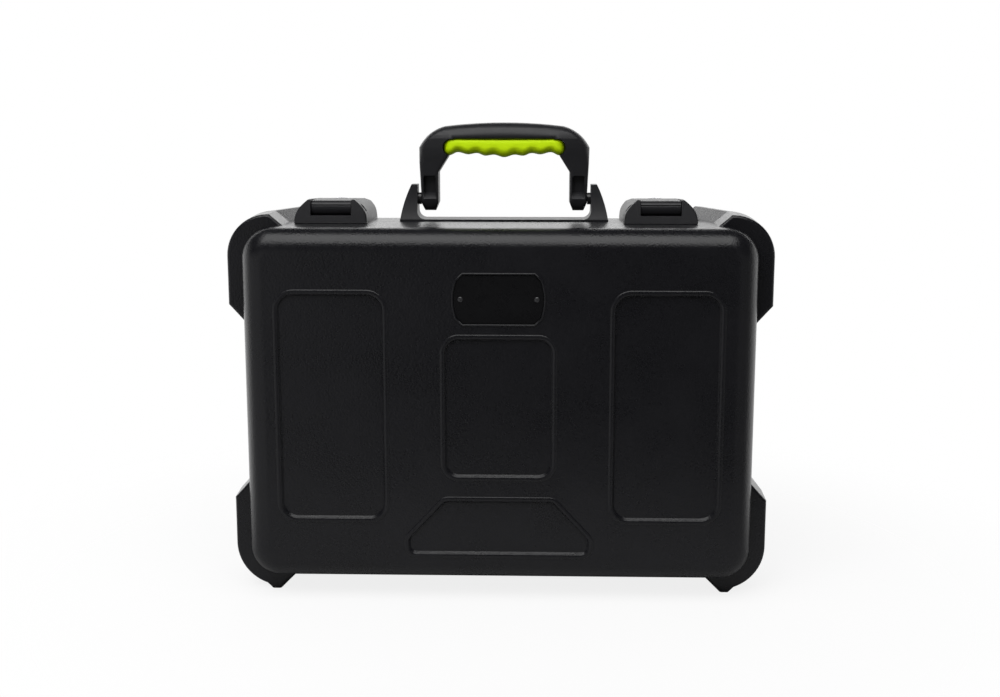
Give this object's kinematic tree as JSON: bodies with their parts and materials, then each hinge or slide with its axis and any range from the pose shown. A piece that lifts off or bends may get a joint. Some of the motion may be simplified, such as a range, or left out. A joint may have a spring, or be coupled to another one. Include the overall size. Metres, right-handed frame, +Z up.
{
  "type": "microphone case",
  "caption": "Upright hard carrying case with a hinged lid, corner bumpers, lever latches with release buttons and keys, a folding handle and foam cut for handheld microphones",
  "frame": {"origin": "on the floor under the middle of the closed case's bounding box", "axes": "+X to the right as seen from the front, +Y to the back, +Z up; the lid faces -Y and the case stands upright on its feet"},
  "size_m": [0.471, 0.15, 0.4118],
  "materials": {
    "shell": "black moulded plastic with a fine pebble grain",
    "moulding": "smoother black moulded plastic with a soft sheen",
    "grip": "bright yellow-green soft moulding",
    "foam": "charcoal open-cell foam",
    "plate": "bare black plate, smoother than the shell",
    "steel": "plain zinc-coloured steel",
    "dark_steel": "black-coated steel",
    "chrome": "bright plated key cylinder"
  },
  "bodies": {
    "base": {"base_shell": "shell", "base_foam_drops": "foam", "base_foam_pad": "foam", "handle_mount": "moulding", "handle_backing_plate": "steel", "handle_pins": "dark_steel", "handle_screws": "dark_steel", "latch_lock_left": "moulding", "latch_lock_right": "moulding", "latch_spring_left": "steel", "latch_spring_right": "steel", "latch_lock_screws": "dark_steel", "hinge_base_leaf_left": "dark_steel", "hinge_base_leaf_right": "dark_steel", "hinge_pin_left": "steel", "hinge_pin_right": "steel", "hinge_base_rivets": "steel"},
    "lid": {"lid_shell": "shell", "lid_foam": "foam", "label_plate": "plate", "label_pins": "dark_steel", "latch_bracket_left": "moulding", "latch_bracket_right": "moulding", "latch_pin_left": "dark_steel", "latch_pin_right": "dark_steel", "latch_bracket_screws": "dark_steel", "hinge_lid_leaf_left": "dark_steel", "hinge_lid_leaf_right": "dark_steel", "hinge_lid_rivets": "steel"},
    "handle": {"handle_body": "moulding", "handle_grip": "grip"},
    "lever_left": {"latch_lever_left": "moulding"},
    "lever_right": {"latch_lever_right": "moulding"},
    "button_left": {"latch_button_left": "moulding"},
    "button_right": {"latch_button_right": "moulding"},
    "key_left": {"latch_key_left": "chrome"},
    "key_right": {"latch_key_right": "chrome"}
  },
  "joints": [
    {"name": "lid_hinge", "type": "hinge", "parent": "base", "child": "lid", "pos_m": [0, -0.013, 0.008], "axis": [1, 0, 0], "range_deg": [0, 100]},
    {"name": "handle_pivot", "type": "hinge", "parent": "base", "child": "handle", "pos_m": [0.0027, 0.01, 0.3453], "axis": [1, 0, 0], "range_deg": [-90, 90]},
    {"name": "lever_left_pivot", "type": "hinge", "parent": "lid", "child": "lever_left", "pos_m": [-0.147, -0.0178, 0.3386], "axis": [1, 0, 0], "range_deg": [0, 110]},
    {"name": "lever_right_pivot", "type": "hinge", "parent": "lid", "child": "lever_right", "pos_m": [0.1388, -0.0178, 0.3386], "axis": [1, 0, 0], "range_deg": [0, 110]},
    {"name": "button_left_slide", "type": "slide", "parent": "base", "child": "button_left", "axis": [0, 1, 0], "range_m": [0, 0.004], "stiffness_N_per_m": 600, "springref_m": -0.003},
    {"name": "button_right_slide", "type": "slide", "parent": "base", "child": "button_right", "axis": [0, 1, 0], "range_m": [0, 0.004], "stiffness_N_per_m": 600, "springref_m": -0.003},
    {"name": "key_left_turn", "type": "hinge", "parent": "base", "child": "key_left", "pos_m": [-0.147, 0.0404, 0.34], "axis": [0, 0, 1], "range_deg": [0, 90]},
    {"name": "key_right_turn", "type": "hinge", "parent": "base", "child": "key_right", "pos_m": [0.1388, 0.0404, 0.34], "axis": [0, 0, 1], "range_deg": [0, 90]}
  ]
}
